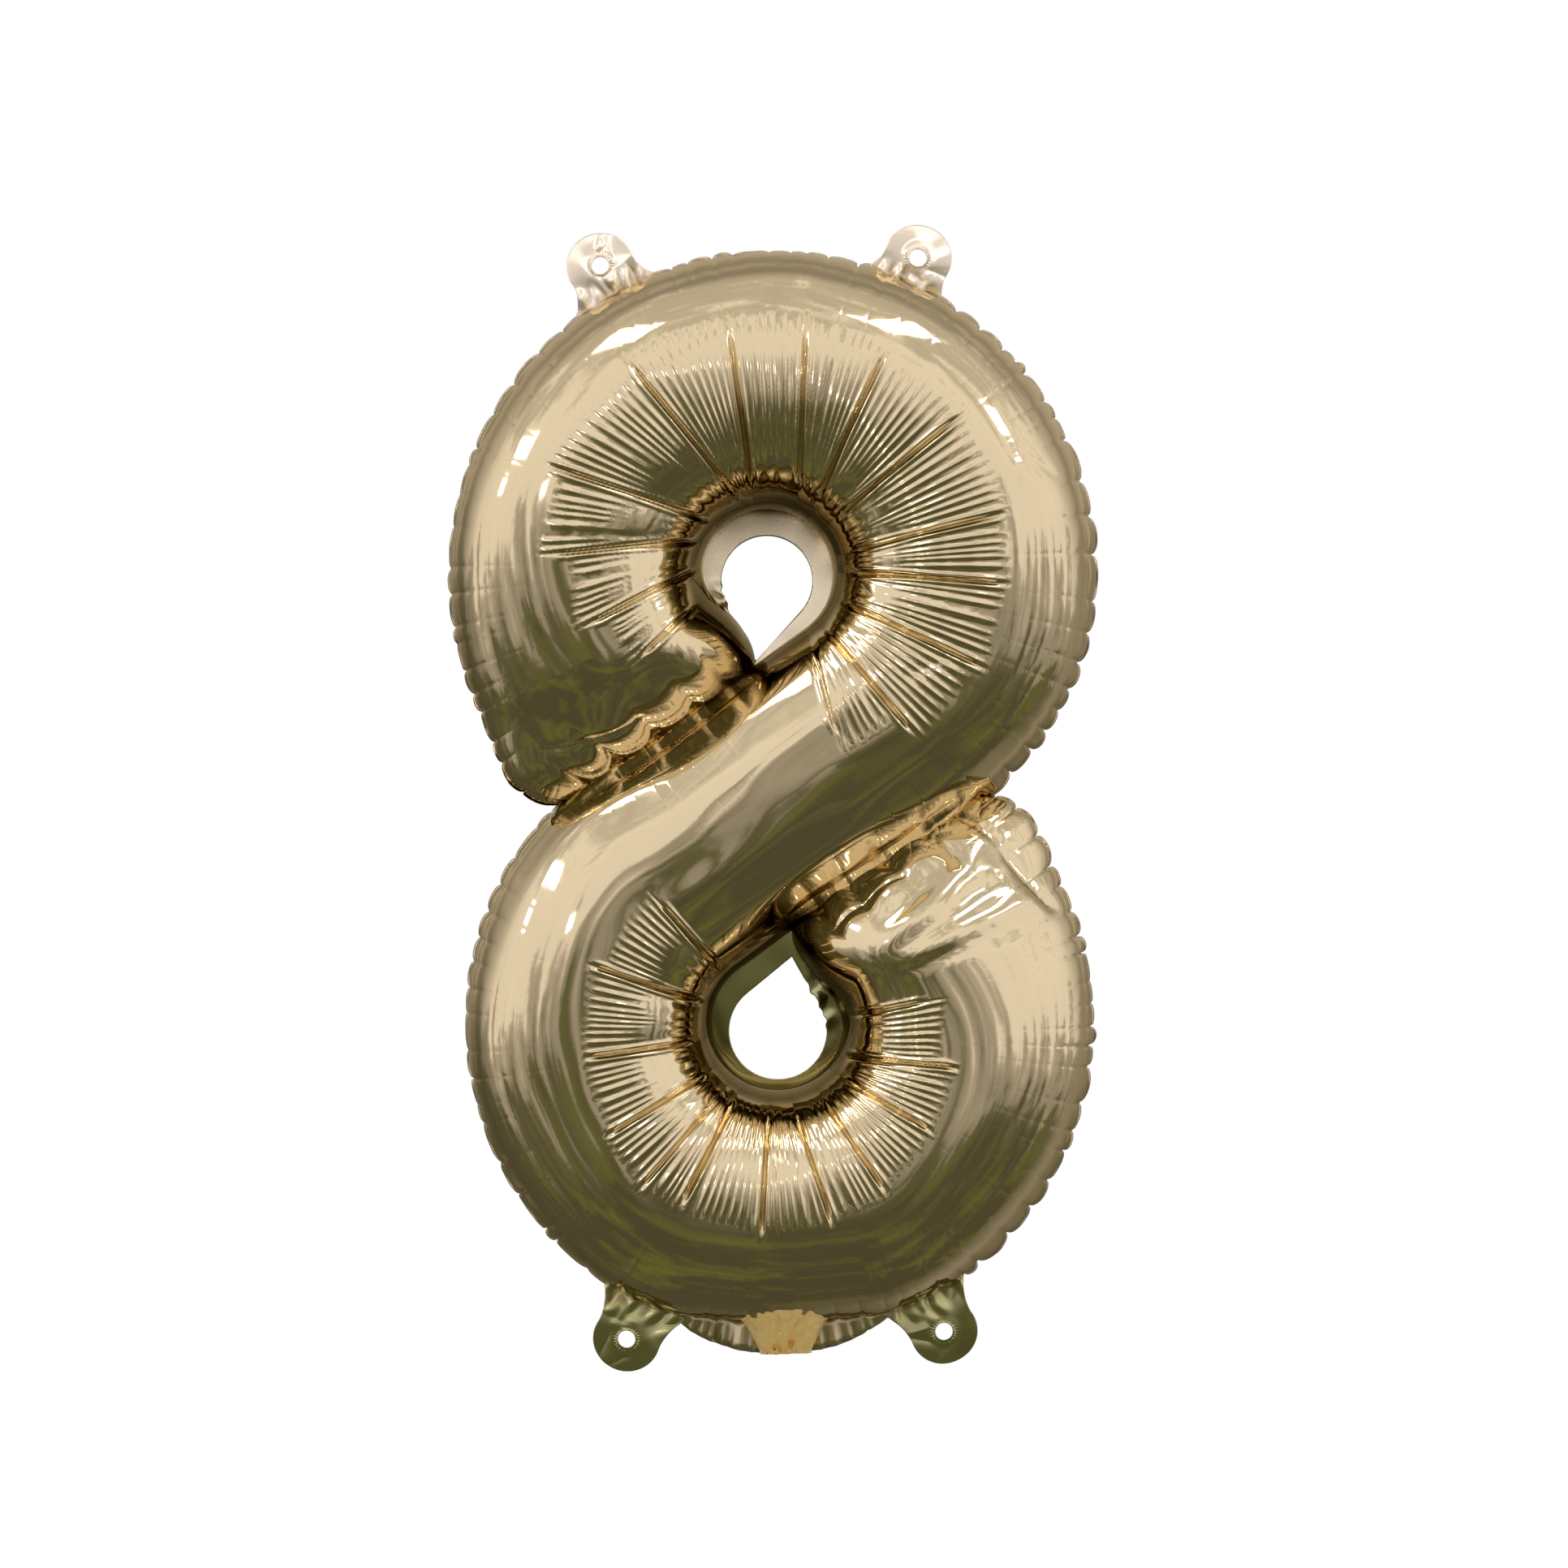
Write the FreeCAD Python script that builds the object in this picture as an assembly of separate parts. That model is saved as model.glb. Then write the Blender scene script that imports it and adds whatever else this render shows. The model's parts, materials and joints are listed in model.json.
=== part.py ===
import FreeCAD, Part
import math
import os
from FreeCAD import Vector

# Air-filled foil balloon in the shape of the number eight, hanging upright, in millimetres.
# X is to the right, Z is up and the front faces -Y. The seam between the two film sheets lies
# in the plane Y = 0, and the origin is the middle of the whole balloon's box.
# The balloon is one tube bent into a reversed S. Each end of the tube curls round a hole and
# is welded to the diagonal band that crosses the middle.

# Loops
loop_height = 69.0          # from the middle of the balloon to the middle of each hole
upper_radius = 100.0        # middle of the upper hole to the edge of the seal
lower_radius = 97.0
seal_width = 2.5            # outer heat seal, beyond the inflated tube
ring_radius = 20.5          # middle of a hole to the inflated tube
band_angle = 34.0           # slope of the diagonal band

# Inflated tube
half_depth = 36.0           # seam plane to the front of the tube
film = 0.4                  # one ply, thicker than the real film so that it can be meshed
weld_strip = 3.0            # seal between a lobe's end and the band
end_depth = 2 * film        # half depth of the tube where it is welded shut
lobe_start = 205.0          # plan angle where a lobe begins to close towards its weld
weld_reach = 0.86           # share of the tube's radius that the weld line reaches out to
seal_gap = 0.03             # left between the inflated tube and the flat seals

# Holes
hole_radius = 14.0          # round part of the open hole
hole_tip = 27.0             # middle of the hole to its pointed end
ring_tip = 29.0             # middle of the hole to the pointed end of its seal
ring_lap = 1.0              # how far the hole's seal is drawn on under the tube before it is cut
through = 1.0               # half height of the cutters of the flat seals

# Notches of the outer seal at the waist
notch_place = 75.5
notch_radius = 6.5

# Hanging tabs
tab_angle = 26.9            # between the upright and a tab's middle line
tab_reach = 108.2           # middle of the loop to the tab's punched hole
tab_head = 10.4
tab_bore = 2.75
tab_root = 13.5             # half the width where the tab leaves the seal
tab_waist = 11.0            # half width between the root and the head
tab_land = 1.0              # seal edge to the line where the tab bends
tab_gap = 0.8               # left open along that line
land_depth = 7.5            # strip of seal inwards from that line

# Filling neck and valve at the bottom
neck_spread = 18.0          # half angle of the wider seal at the neck
neck_root = 80.0            # middle of the lower loop to that seal's inner end, under the tube
neck_radius = 101.5         # middle of the lower loop to the edge of that seal
neck_lip = 102.0            # middle of the lower loop to the neck's open end
neck_top_half = 14.0
neck_lip_half = 9.0
valve_half = 8.0
valve_length = 46.0

across = Vector(math.cos(math.radians(band_angle)), 0, math.sin(math.radians(band_angle)))
normal = Vector(across.z, 0, -across.x)
back = Vector(0, 1, 0)
upper_centre = Vector(0, 0, loop_height)
lower_centre = Vector(0, 0, -loop_height)
band_width = 2 * (loop_height * across.x - ring_radius)
foot_distance = loop_height * across.z


def polar(angle, radius):
    """A point around a loop's middle, with the angle counted up from +X."""
    return Vector(radius * math.cos(math.radians(angle)), 0, radius * math.sin(math.radians(angle)))


# Every teardrop points where its seal's outer edge meets the band's edge line.
tip_angle = band_angle - 90 - math.degrees(math.acos(ring_radius / ring_tip))


def lobe_sections(tube_radius):
    """Tube sections of one loop, from its welded end round to the band: inner point, outer point
    and half depth of each, around the loop's middle."""
    tip = 360 + tip_angle
    leave = tip - math.degrees(math.acos(ring_radius / ring_tip))
    weld_shift = normal * (ring_radius - weld_strip)
    corner_in = weld_shift - across * math.sqrt(ring_tip ** 2 - ring_radius ** 2)
    corner_out = weld_shift - across * (tube_radius * weld_reach)
    last_out = 360 + math.degrees(math.atan2(corner_out.z, corner_out.x))
    sections = [(corner_in, corner_out, end_depth)]
    for step in (0.97, 0.9, 0.78, 0.6, 0.35):
        angle_in = lobe_start + (tip - lobe_start) * step
        radius_in = ring_radius / math.cos(math.radians(max(0, angle_in - leave)))
        angle_out = lobe_start + (last_out - lobe_start) * step
        radius_out = tube_radius + (corner_out.Length - tube_radius) * step ** 6
        inner = polar(angle_in, radius_in) - normal * weld_strip * step ** 6
        outer = polar(angle_out, radius_out)
        sections.append((inner, outer, half_depth * math.sqrt(1 - step ** 4)))
    for angle in (lobe_start, 180, 155, 130, 105, 80, 55, 30, 5, -20, -40, band_angle - 90):
        fade = (min(angle, 0) / (band_angle - 90)) ** 2
        radius_out = tube_radius + (ring_radius + band_width - tube_radius) * fade
        sections.append((polar(angle, ring_radius), polar(angle, radius_out), half_depth))
    return sections


def tube_sections():
    """All sections of the reversed S, from the upper lobe's end to the lower lobe's end."""
    placed = []
    for inner, outer, depth in lobe_sections(upper_radius - seal_width):
        placed.append((upper_centre + inner, upper_centre + outer, depth))
    half_width = normal * (band_width / 2)
    for part_way in (0.5, 0, -0.5):
        middle = across * (foot_distance * part_way)
        placed.append((middle - half_width, middle + half_width, half_depth))
    for inner, outer, depth in reversed(lobe_sections(lower_radius - seal_width)):
        placed.append((lower_centre - outer, lower_centre - inner, depth))
    return placed


def half_arc(section, wall, side):
    """Half an ellipse over one tube section, on one side of the seam and inset by a wall."""
    inner, outer, depth = section
    middle = (inner + outer) * 0.5
    along = (outer - inner).normalize()
    half_width = (outer - inner).Length / 2 - wall
    ellipse = Part.Ellipse(middle + along * half_width, middle + back * side * (depth - wall), middle)
    return Part.ArcOfEllipse(ellipse, 0, math.pi).toShape()


def half_tube(side):
    """The space one half of the tube fills, as a solid that stands on the seam plane."""
    wires = []
    for section in tube_sections():
        arc = half_arc(section, -seal_gap, side)
        start, end = arc.Vertexes
        wires.append(Part.Wire([arc, Part.makeLine(end.Point, start.Point)]))
    return Part.makeLoft(wires, True, False)


def panel(side):
    """One film sheet: the skin of half the tube, open along the seam plane."""
    wires = []
    for section in tube_sections():
        outside = half_arc(section, 0, side)
        inside = half_arc(section, film, side)
        foot = [vertex.Point for vertex in outside.Vertexes]
        lip = [vertex.Point for vertex in inside.Vertexes]
        rims = [Part.makeLine(foot[1], lip[1]), Part.makeLine(lip[0], foot[0])]
        wires.append(Part.Wire([outside, rims[0], inside, rims[1]]))
    return Part.makeLoft(wires, True, False).cut(valve_slot())


def plate(outline, low, high):
    """A flat piece between two distances from the seam plane."""
    face = Part.Face(outline)
    face.translate(Vector(0, low, 0))
    return face.extrude(Vector(0, high - low, 0))


def disc(centre, radius, low=-film, high=film):
    """A flat round piece about a line along Y."""
    return Part.makeCylinder(radius, high - low, centre + back * low, back)


def teardrop(radius, reach, low, high):
    """A hole's outline around the upper loop's middle: a circle drawn out to a point."""
    spread = math.degrees(math.acos(radius / reach))
    tip = polar(tip_angle, reach)
    right = polar(tip_angle + spread, radius)
    left = polar(tip_angle - spread, radius)
    outline = Part.Wire([
        Part.Arc(right, polar(tip_angle + 180, radius), left).toShape(),
        Part.makeLine(left, tip),
        Part.makeLine(tip, right),
    ])
    shape = plate(outline, low, high)
    shape.translate(upper_centre)
    return shape


def turned(shape):
    """The same shape on the lower loop, half a turn about Y."""
    copy = shape.copy()
    copy.rotate(Vector(0, 0, 0), back, 180)
    return copy


def weld_region():
    """Space of the straight weld beside the upper lobe's end."""
    inner_end = upper_centre + normal * ring_radius - across * math.sqrt(ring_tip ** 2 - ring_radius ** 2)
    outer_end = upper_centre + normal * ring_radius - across * ((upper_radius - seal_width) * weld_reach)
    raised = normal * (2 * weld_strip)
    corners = [inner_end + raised, outer_end + raised, outer_end - raised, inner_end - raised]
    return plate(Part.makePolygon(corners + corners[:1]), -film, film)


def tab_frame(side, up):
    """Middle line and bend line of one tab, as unit vectors, and its loop's middle and radius."""
    lean = math.radians(tab_angle)
    outward = Vector(side * math.sin(lean), 0, up * math.cos(lean))
    bend = Vector(outward.z, 0, -outward.x)
    centre = upper_centre if up > 0 else lower_centre
    radius = upper_radius if up > 0 else lower_radius
    return outward, bend, centre, radius


def tab(side, up):
    """One hanging tab: a paddle of two fused plies with a punched hole."""
    outward, bend, centre, radius = tab_frame(side, up)
    foot = centre + outward * (radius + tab_land)
    eye = centre + outward * tab_reach
    shoulder = (eye - foot).Length
    root_right = foot + bend * tab_root
    root_left = foot - bend * tab_root
    head_right = eye + bend * tab_head
    head_left = eye - bend * tab_head
    waist = outward * (shoulder / 3)
    outline = Part.Wire([
        Part.makeLine(root_left, root_right),
        Part.Arc(root_right, foot + bend * tab_waist + waist, head_right).toShape(),
        Part.Arc(head_right, eye + outward * tab_head, head_left).toShape(),
        Part.Arc(head_left, foot - bend * tab_waist + waist, root_left).toShape(),
    ])
    return plate(outline, -film, film).cut(disc(eye, tab_bore, -through, through))


def tab_land_plate(side, up):
    """The strip of outer seal that a tab's bend line stands on."""
    outward, bend, centre, radius = tab_frame(side, up)
    edge = centre + outward * (radius + tab_land - tab_gap)
    depth = outward * land_depth
    corners = [edge - bend * tab_root, edge + bend * tab_root, edge + bend * tab_root - depth,
               edge - bend * tab_root - depth]
    return plate(Part.makePolygon(corners + corners[:1]), -film, film)


def neck_sector():
    """The wider seal either side of the filling neck."""
    low = [polar(-90 + neck_spread * part_way, neck_radius) for part_way in (-1, 0, 1)]
    top = [polar(-90 - neck_spread, neck_root), polar(-90 + neck_spread, neck_root)]
    outline = Part.Wire([
        Part.Arc(low[0], low[1], low[2]).toShape(),
        Part.makeLine(low[2], top[1]),
        Part.makeLine(top[1], top[0]),
        Part.makeLine(top[0], low[0]),
    ])
    shape = plate(outline, -film, film)
    shape.translate(lower_centre)
    return shape


def seal_plate():
    """The flat outline of both sealed sheets, before the tube and the holes are taken out."""
    flat = disc(upper_centre, upper_radius).fuse(disc(lower_centre, lower_radius))
    flat = flat.fuse(neck_sector())
    for side in (-1, 1):
        for up in (-1, 1):
            flat = flat.fuse(tab_land_plate(side, up))
    for side in (-1, 1):
        notch = disc(Vector(side * notch_place, 0, 0), notch_radius, -through, through)
        flat = flat.cut(notch)
    return flat.removeSplitter()


def valve_slot():
    """The way for the valve through the seal and the films."""
    low = Vector(-valve_half, -film, -loop_height - neck_lip)
    return Part.makeBox(2 * valve_half, 2 * film, valve_length, low)


def neck_ply(side):
    """One ply of the filling neck, outside the valve."""
    top = -loop_height - (lower_radius - seal_width) - film
    lip = -loop_height - neck_lip
    corners = [Vector(-neck_top_half, 0, top), Vector(neck_top_half, 0, top),
               Vector(neck_lip_half, 0, lip), Vector(-neck_lip_half, 0, lip)]
    low, high = sorted((side * film, side * 2 * film))
    return plate(Part.makePolygon(corners + corners[:1]), low, high)


def valve_ply(side):
    """One flat film of the self-closing valve."""
    low = Vector(-valve_half, min(0, side * film), -loop_height - neck_lip)
    return Part.makeBox(2 * valve_half, film, valve_length, low)


def build():
    upper_ring = teardrop(ring_radius + ring_lap, ring_tip + ring_lap, -film, film)
    lower_ring = turned(upper_ring)
    upper_open = teardrop(hole_radius, hole_tip, -through, through)
    lower_open = turned(upper_open)
    flat = seal_plate().cut(half_tube(-1)).cut(half_tube(1))
    upper_seal = flat.common(upper_ring).cut(upper_open)
    lower_seal = flat.common(lower_ring).cut(lower_open)
    rest = flat.cut(upper_ring).cut(lower_ring)
    upper_weld = rest.common(weld_region())
    lower_weld = rest.common(turned(weld_region()))
    rim = rest.cut(weld_region()).cut(turned(weld_region())).cut(valve_slot())

    nodes = {
        "front_panel": panel(-1),
        "back_panel": panel(1),
        "perimeter_seal": rim,
        "upper_hole_seal": upper_seal,
        "lower_hole_seal": lower_seal,
        "upper_lobe_weld": upper_weld,
        "lower_lobe_weld": lower_weld,
        "fill_neck_front": neck_ply(-1),
        "fill_neck_back": neck_ply(1),
        "valve_front_film": valve_ply(-1),
        "valve_back_film": valve_ply(1),
        "hanging_tab_top_left": tab(-1, 1),
        "hanging_tab_top_right": tab(1, 1),
        "hanging_tab_bottom_left": tab(-1, -1),
        "hanging_tab_bottom_right": tab(1, -1),
    }
    os.makedirs("parts", exist_ok=True)
    for name, shape in nodes.items():
        print(name, [round(s.Volume, 2) for s in shape.Solids], shape.isValid(), shape.BoundBox)
        shape.exportStep("parts/" + name + ".step")


build()
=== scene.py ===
import json
import math

import bmesh
import bpy
import numpy as np
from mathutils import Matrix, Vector


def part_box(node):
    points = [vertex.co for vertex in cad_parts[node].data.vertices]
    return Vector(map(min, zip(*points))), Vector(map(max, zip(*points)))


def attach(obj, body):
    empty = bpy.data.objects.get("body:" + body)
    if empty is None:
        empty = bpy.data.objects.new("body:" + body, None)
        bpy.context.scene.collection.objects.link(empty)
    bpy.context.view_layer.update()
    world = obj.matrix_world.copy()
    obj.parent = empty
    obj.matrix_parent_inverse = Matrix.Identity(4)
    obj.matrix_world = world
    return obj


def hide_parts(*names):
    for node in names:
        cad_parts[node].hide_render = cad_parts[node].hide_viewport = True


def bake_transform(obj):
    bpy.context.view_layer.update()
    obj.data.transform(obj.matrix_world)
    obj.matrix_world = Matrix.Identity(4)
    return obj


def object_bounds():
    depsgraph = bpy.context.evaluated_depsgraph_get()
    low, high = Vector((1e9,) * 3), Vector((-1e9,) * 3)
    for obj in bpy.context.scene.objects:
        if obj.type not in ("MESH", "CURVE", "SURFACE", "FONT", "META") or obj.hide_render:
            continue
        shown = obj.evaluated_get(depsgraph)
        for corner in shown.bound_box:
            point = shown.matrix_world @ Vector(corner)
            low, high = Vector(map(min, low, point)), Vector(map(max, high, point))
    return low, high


bl_info = {
    "name": "Foil Number Balloon",
    "version": (1, 0, 0),
    "blender": (4, 5, 0),
    "location": "View3D > Sidebar > Balloon",
    "description": "Builds an air-filled foil number eight with gathered film, heat seals and hanging tabs",
    "category": "Add Mesh",
}

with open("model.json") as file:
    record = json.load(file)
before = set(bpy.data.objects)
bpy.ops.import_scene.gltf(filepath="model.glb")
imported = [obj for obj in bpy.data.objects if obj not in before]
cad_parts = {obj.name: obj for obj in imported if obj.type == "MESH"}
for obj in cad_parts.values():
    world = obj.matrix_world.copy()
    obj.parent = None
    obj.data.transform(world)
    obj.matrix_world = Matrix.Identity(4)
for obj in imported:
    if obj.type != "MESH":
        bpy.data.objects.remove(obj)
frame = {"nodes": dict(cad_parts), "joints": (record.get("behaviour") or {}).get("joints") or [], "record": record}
CAD_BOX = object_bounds()
MM = 0.001

# The shape of the tube, shared by every piece. Lengths are metres, plan angles
# are degrees round a loop's middle, counted up from +X. The lower loop is the
# upper one turned half a turn about Y, so both are described in the upper
# loop's own directions.

BALLOON = "balloon"
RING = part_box("upper_hole_seal")
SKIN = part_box("front_panel")
LOOP_HEIGHT = 69.0 * MM
RING_RADIUS = (RING[1][0] - RING[0][0]) / 2 - 0.6 * MM
BAND_ANGLE = 34.0
RING_TIP = 29.0 * MM
LOBE_START = 205.0
HALF_DEPTH = (SKIN[1][1] - SKIN[0][1]) - 0.4 * MM
TUBE_RADIUS = {"upper": 99.3 * MM, "lower": 96.2 * MM}
# The lower outline is flattened by this much at the filling neck.
NECK_FLAT = 4.0 * MM
# Distance from the weld in which a lobe swells to its full section.
CLOSING_LENGTH = 58 * MM
# The section across the tube: 1 - |sweep| ** SECTION_POWER, raised to SECTION_ROUND.
SECTION_POWER = 2.3
SECTION_ROUND = 0.56
BAND_DIR = np.array([math.cos(math.radians(BAND_ANGLE)), math.sin(math.radians(BAND_ANGLE))])
BAND_NORMAL = np.array([BAND_DIR[1], -BAND_DIR[0]])
BAND_WIDTH = 2 * (LOOP_HEIGHT * BAND_DIR[0] - RING_RADIUS)
FOOT = LOOP_HEIGHT * BAND_DIR[1]
TIP_ANGLE = BAND_ANGLE - 90 - math.degrees(math.acos(RING_RADIUS / RING_TIP))

# The see-through hole in each ring seal: radius, reach of its point, and its shift in height.
HOLES = {"upper": (14.0 * MM, 27.0 * MM, -2.0 * MM), "lower": (15.0 * MM, 23.4 * MM, 2.6 * MM)}
# Each lobe's weld lies along the band: its start and end from the foot of the hole's middle.
WELD_SPAN = (18 * MM, 90 * MM)
# Half widths of a hanging tab at its head and at its root.
TAB_HEAD = 10.4 * MM
TAB_ROOT = 14.5 * MM

# Sharp folds that run out from each hole: outer angle and radius, inner angle and radius, in
# degrees and millimetres, and how much of the gathers beside each is flattened.
UPPER_FOLDS = (
    (213, 44, 205, 26, 0.9), (195.3, 54, 176.6, 22, 0.8), (174.1, 63, 155.6, 24, 0.75),
    (152.9, 72, 138.6, 25, 0.7), (122.5, 80, 110.6, 26, 0.2), (97.3, 79, 98.6, 28, 0.1),
    (79.8, 79, 69.6, 31, 0.1), (60.0, 74, 54.6, 30, 0.15), (37.3, 76, 36.6, 30, 0.3),
    (12.1, 73, 12.1, 28, 0.45), (-4.6, 71, -1.9, 27, 0.3), (-25.6, 71, -23.4, 27, 0.25),
    (-49.3, 64, -46.4, 27, 0.3), (-68, 52, -62, 30, 0.6))
LOWER_FOLDS = (
    (188.5, 44, 186, 24, 0.9), (165.8, 54, 155, 24, 0.2), (144.8, 54, 140.6, 28, 0.2),
    (122.1, 58, 120.6, 28, 0.35), (104.2, 60, 100.6, 29, 0.25), (84.2, 62, 82.6, 29, 0.1),
    (60.1, 59, 58.6, 28, 0.1), (48.2, 63, 48.6, 32, 0.25), (31.1, 59, 32.6, 28, 0.7),
    (7.6, 57, 9.6, 27, 0.9), (-19.9, 58, -18.8, 25, 0.8), (-48, 50, -46, 27, 0.6))
# Fine pleats between the folds, and the wider gathers next to the hole: pitch in degrees, height.
PLEAT_PITCH = 2.55
PLEAT_HEIGHT = 0.35 * MM
GATHER_PITCH = 6.6
GATHER_HEIGHT = 0.12 * MM
# Ribs on the rolled edges beside the welds.
RIB_PITCH = 2.1 * MM
# Soft ridges on the lower lobe: degrees apart, and height.
RIDGE_PITCH = 11
RIDGE_HEIGHT = 0.62 * MM
# Scallops of the outline: its mean radius, the shortest and longest scallop, how far they bulge
# and how deep they dip.
OUTLINE_RADIUS = 97 * MM
SCALLOP = (4.5 * MM, 14 * MM)
SCALLOP_BULGE = 3.0 * MM
SCALLOP_DIP = 0.75 * MM
# The plan is averaged over this many rows, so that its parts run evenly into each other. It is odd.
EASE_ROWS = 31
# Loose tucks of the front sheet: from and to in millimetres, depth and half width.
TUCKS = ((70.3, -18.8, 85.5, -36.0, 1.5, 1.3), (-60, 20, -44, 12, 0.5, 1.5),
         (42, 36, 58, 44, 0.7, 1.0), (79, 104, 88, 96, 0.35, 1.0))


def smooth(x, low, high):
    """Nought below low, one above high, and an even ease between."""
    t = np.clip((x - low) / (high - low), 0, 1)
    return t * t * (3 - 2 * t)


def polar(degrees, radius):
    """Plan points round a loop's middle."""
    a = np.radians(degrees)
    return np.stack([np.cos(a) * radius, np.sin(a) * radius], -1)


def soft_noise(seed, *coords):
    """Even noise between about -1 and 1 from a few waves, the same for the same seed."""
    rng = np.random.default_rng(seed)
    total = np.zeros(np.broadcast(*coords).shape)
    for _ in range(9):
        turn = rng.uniform(0, 2 * math.pi)
        wave = rng.uniform(0.6, 1.7)
        lean = rng.normal(size=len(coords))
        lean /= np.linalg.norm(lean)
        total += np.sin(wave * 2 * math.pi * sum(k * c for k, c in zip(lean, coords)) + turn)
    return total / 4.2


def lumps(position, seed, shortest, longest):
    """Uneven cells along an edge: place within the cell from -1 to 1, and a value for the cell."""
    rng = np.random.default_rng(seed)
    low = position.min() - longest
    count = int((position.max() - low) / shortest) + 3
    edges = low + np.cumsum(rng.uniform(shortest, longest, count))
    size = rng.uniform(0.45, 1.0, count)
    cell = np.clip(np.searchsorted(edges, position), 1, count - 1)
    inside = (position - edges[cell - 1]) / (edges[cell] - edges[cell - 1]) * 2 - 1
    return inside, size[cell]


def loop_plan(part, which):
    """Plan of one half of the tube, from the lobe's weld at 0 to the balloon's middle at 1.

    Gives the inner and outer edge points round the loop's middle, the half depth, the
    angle that the section stands at and the distance from the weld."""
    radius = TUBE_RADIUS[which]
    turn = math.radians(LOBE_START - (BAND_ANGLE - 90))
    middle = (RING_RADIUS + radius) / 2
    lengths = np.array([CLOSING_LENGTH, turn * middle, FOOT])
    marks = np.cumsum(lengths) / lengths.sum()
    closing = np.clip(part / marks[0], 0, 1) ** 1.6
    step = 1 - closing
    round_part = np.clip((part - marks[0]) / (marks[1] - marks[0]), 0, 1)
    along = np.clip((part - marks[1]) / (1 - marks[1]), 0, 1)

    angle = LOBE_START + (BAND_ANGLE - 90 - LOBE_START) * round_part
    tip = 360 + TIP_ANGLE
    leave = tip - math.degrees(math.acos(RING_RADIUS / RING_TIP))
    corner = BAND_NORMAL * RING_RADIUS - BAND_DIR * radius * 0.9
    corner_angle = 360 + math.degrees(math.atan2(corner[1], corner[0]))
    corner_radius = math.hypot(*corner)
    in_angle = angle + (tip - LOBE_START) * step
    in_radius = RING_RADIUS / np.cos(np.radians(np.clip(in_angle - leave, 0, 60) * (step > 0)))
    out_angle = angle + (corner_angle - LOBE_START) * step
    out_radius = radius + (corner_radius - radius) * step ** 4
    if which == "lower":
        out_radius = out_radius - NECK_FLAT * np.exp(-((angle - 89) / 19) ** 4) * (step == 0)
    fade = (np.minimum(angle, 0) / (BAND_ANGLE - 90)) ** 2
    out_radius = out_radius + (RING_RADIUS + BAND_WIDTH - radius) * fade * (step == 0)
    inner = polar(in_angle, in_radius) - BAND_DIR * (FOOT * along)[:, None]
    outer = polar(out_angle, out_radius) - BAND_DIR * (FOOT * along)[:, None]
    aside = (1.9 if which == "upper" else -0.6) * MM
    outer[:, 0] += aside * smooth(angle, BAND_ANGLE - 90, 0) * (1 - step)
    depth = HALF_DEPTH * np.sqrt(np.clip(1 - step ** 2.7, 0, 1))
    stand = angle + (233 - LOBE_START) * step - 30 * along
    from_weld = np.where(part < marks[0], closing * lengths[0], part * lengths.sum())
    return inner, outer, depth, stand, from_weld


def tube_plan(u):
    """Plan of the whole reversed S for u from 0, the upper lobe's weld, to 1, the lower's."""
    upper = loop_plan(np.clip(2 * u, 0, 1), "upper")
    lower = loop_plan(np.clip(2 - 2 * u, 0, 1), "lower")
    top = (u <= 0.5)[:, None]
    height = np.array([0, LOOP_HEIGHT])
    left = np.where(top, upper[0] + height, -(lower[1] + height))
    right = np.where(top, upper[1] + height, -(lower[0] + height))
    rest = [np.where(u <= 0.5, a, b) for a, b in zip(upper[2:], lower[2:])]
    return left, right, rest[0], rest[1], rest[2]


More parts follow.
